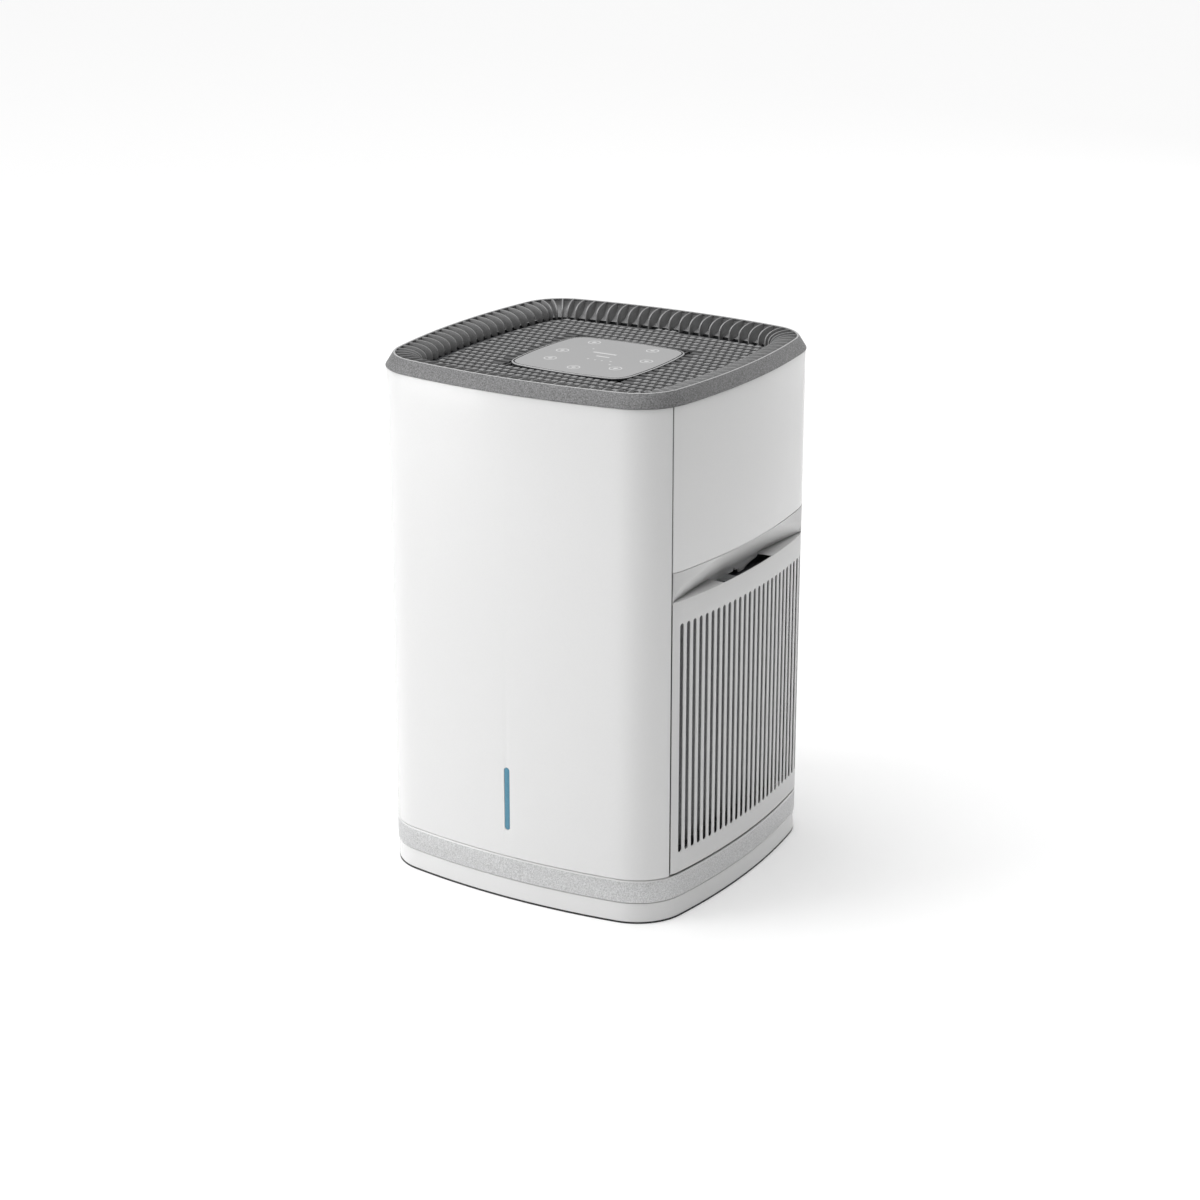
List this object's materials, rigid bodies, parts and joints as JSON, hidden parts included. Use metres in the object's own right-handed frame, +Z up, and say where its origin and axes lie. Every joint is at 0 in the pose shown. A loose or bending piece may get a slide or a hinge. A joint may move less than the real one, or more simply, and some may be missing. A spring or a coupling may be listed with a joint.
{
  "type": "dehumidifier",
  "caption": "Compact thermoelectric dehumidifier tower with slotted side filter doors, a ribbed air outlet round a touch panel, and a rear pull-out water tank.",
  "frame": {"origin": "centre of the footprint at floor level", "axes": "+Z up, -Y towards the front with the light strip, +X to the right side"},
  "size_m": [0.211, 0.2082, 0.3192],
  "materials": {
    "white_shell": "satin white moulded plastic",
    "ring_grey": "grained mid grey moulded plastic",
    "mesh_grey": "woven-look grey plastic mesh",
    "satin_band": "fine metallic silver paint",
    "panel_glass": "smooth light grey touch surface",
    "light_lens": "translucent blue lens",
    "rubber": "matte black rubber",
    "dark_plastic": "dark grey moulded plastic",
    "filter_felt": "pleated dark grey felt",
    "steel": "bright steel",
    "aluminium": "extruded aluminium",
    "ceramic": "white ceramic",
    "fan_white": "white moulded plastic",
    "tray_grey": "pale grey plastic",
    "tank_clear": "clear moulded tank plastic",
    "circuit_board": "green circuit board"
  },
  "bodies": {
    "housing": {"rubber_feet": "rubber", "base_plinth": "white_shell", "trim_band": "satin_band", "base_deck": "dark_plastic", "inner_frame": "dark_plastic", "mid_deck": "dark_plastic", "fan_deck": "dark_plastic", "front_shell": "white_shell", "rear_shell": "white_shell", "upper_panel_right": "white_shell", "upper_panel_left": "white_shell", "finger_scoop_right": "white_shell", "finger_scoop_left": "white_shell", "door_pin_right": "steel", "door_pin_left": "steel", "door_catch_right": "steel", "door_catch_left": "steel", "top_ring": "ring_grey", "outlet_bowl": "ring_grey", "vent_ribs": "ring_grey", "top_grille": "mesh_grey", "touch_panel": "panel_glass", "control_housing": "dark_plastic", "control_board": "circuit_board", "fan_shroud": "dark_plastic", "motor_bracket": "dark_plastic", "bracket_screws": "steel", "fan_motor": "dark_plastic", "hot_sink_right": "aluminium", "hot_sink_left": "aluminium", "peltier_right": "ceramic", "peltier_left": "ceramic", "cold_sink_right": "aluminium", "cold_sink_left": "aluminium", "sink_bracket": "dark_plastic", "drip_tray": "tray_grey", "level_sensor": "dark_plastic", "light_guide": "light_lens", "light_board": "circuit_board", "power_board": "circuit_board", "power_jack": "dark_plastic", "humidity_sensor": "fan_white", "base_screws": "steel"},
    "right_door": {"filter_door_right": "white_shell", "filter_frame_right": "dark_plastic", "filter_media_right": "filter_felt"},
    "left_door": {"filter_door_left": "white_shell", "filter_frame_left": "dark_plastic", "filter_media_left": "filter_felt"},
    "impeller": {"fan_impeller": "fan_white", "motor_shaft": "steel"},
    "tank": {"water_tank": "tank_clear", "tank_lid": "tray_grey", "tank_fascia": "white_shell"},
    "float": {"tank_float": "fan_white"}
  },
  "joints": [
    {"name": "right_door_tilt", "type": "hinge", "parent": "housing", "child": "right_door", "pos_m": [0.102, 0, 0.0312], "axis": [0, 1, 0], "range_deg": [0, 25]},
    {"name": "left_door_tilt", "type": "hinge", "parent": "housing", "child": "left_door", "pos_m": [-0.102, 0, 0.0312], "axis": [0, -1, 0], "range_deg": [0, 25]},
    {"name": "fan_spin", "type": "hinge", "parent": "housing", "child": "impeller", "pos_m": [0, 0, 0.233], "axis": [0, 0, 1], "continuous": true},
    {"name": "tank_slide", "type": "slide", "parent": "housing", "child": "tank", "axis": [0, 1, 0], "range_m": [0, 0.17]},
    {"name": "float_rise", "type": "slide", "parent": "tank", "child": "float", "axis": [0, 0, 1], "range_m": [0, 0.045]}
  ]
}
